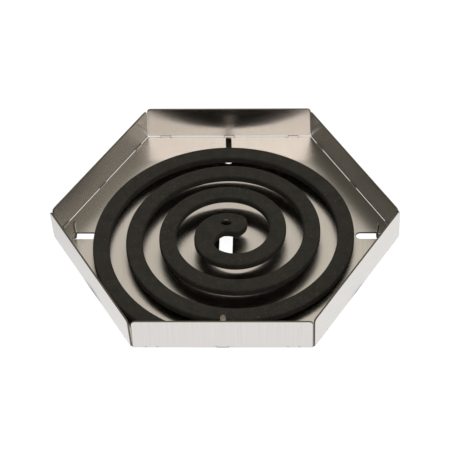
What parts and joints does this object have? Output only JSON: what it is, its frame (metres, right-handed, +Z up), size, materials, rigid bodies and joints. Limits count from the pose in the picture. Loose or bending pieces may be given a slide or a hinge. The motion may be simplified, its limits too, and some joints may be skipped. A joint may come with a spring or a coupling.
{
  "type": "mosquito coil holder",
  "caption": "Hexagonal folded steel tray with upright walls, slotted stop tabs and a bent-up centre spike that carries a dark flat spiral incense coil.",
  "frame": {"origin": "centre of the tray on the underside of its floor, Z = 0 being the surface that it lies on", "axes": "+Z up; +X to the right corner and +Y to the back wall, so the front wall faces -Y"},
  "size_m": [0.1601, 0.1396, 0.0175],
  "materials": {
    "steel": "brushed, soft grain from front to back, warm grey",
    "coil_powder": "matt pressed plant powder, dark charcoal"
  },
  "bodies": {
    "tray": {"base_plate": "steel", "stop_tab_right": "steel", "stop_tab_back": "steel", "stop_tab_left": "steel", "stop_tab_front": "steel", "coil_spike": "steel"},
    "wall_back_right": {"wall_back_right": "steel"},
    "wall_back": {"wall_back": "steel"},
    "wall_back_left": {"wall_back_left": "steel"},
    "wall_front_left": {"wall_front_left": "steel"},
    "wall_front": {"wall_front": "steel"},
    "wall_front_right": {"wall_front_right": "steel"},
    "coil": {"mosquito_coil": "coil_powder"}
  },
  "joints": [
    {"name": "fold_back_right", "type": "hinge", "parent": "tray", "child": "wall_back_right", "pos_m": [0.05967, 0.03445, 0.0004], "axis": [-0.5, 0.866, 0], "range_deg": [0, 92.8]},
    {"name": "fold_back", "type": "hinge", "parent": "tray", "child": "wall_back", "pos_m": [0, 0.0689, 0.0004], "axis": [-1, 0, 0], "range_deg": [0, 87.2]},
    {"name": "fold_back_left", "type": "hinge", "parent": "tray", "child": "wall_back_left", "pos_m": [-0.05967, 0.03445, 0.0004], "axis": [-0.5, -0.866, 0], "range_deg": [0, 91]},
    {"name": "fold_front_left", "type": "hinge", "parent": "tray", "child": "wall_front_left", "pos_m": [-0.05967, -0.03445, 0.0004], "axis": [0.5, -0.866, 0], "range_deg": [0, 86.9]},
    {"name": "fold_front", "type": "hinge", "parent": "tray", "child": "wall_front", "pos_m": [0, -0.0689, 0.0004], "axis": [1, 0, 0], "range_deg": [0, 89.3]},
    {"name": "fold_front_right", "type": "hinge", "parent": "tray", "child": "wall_front_right", "pos_m": [0.05967, -0.03445, 0.0004], "axis": [0.5, 0.866, 0], "range_deg": [0, 90.4]},
    {"name": "coil_lift", "type": "slide", "parent": "tray", "child": "coil", "axis": [0, 0, 1], "range_m": [0, 0.03]}
  ]
}
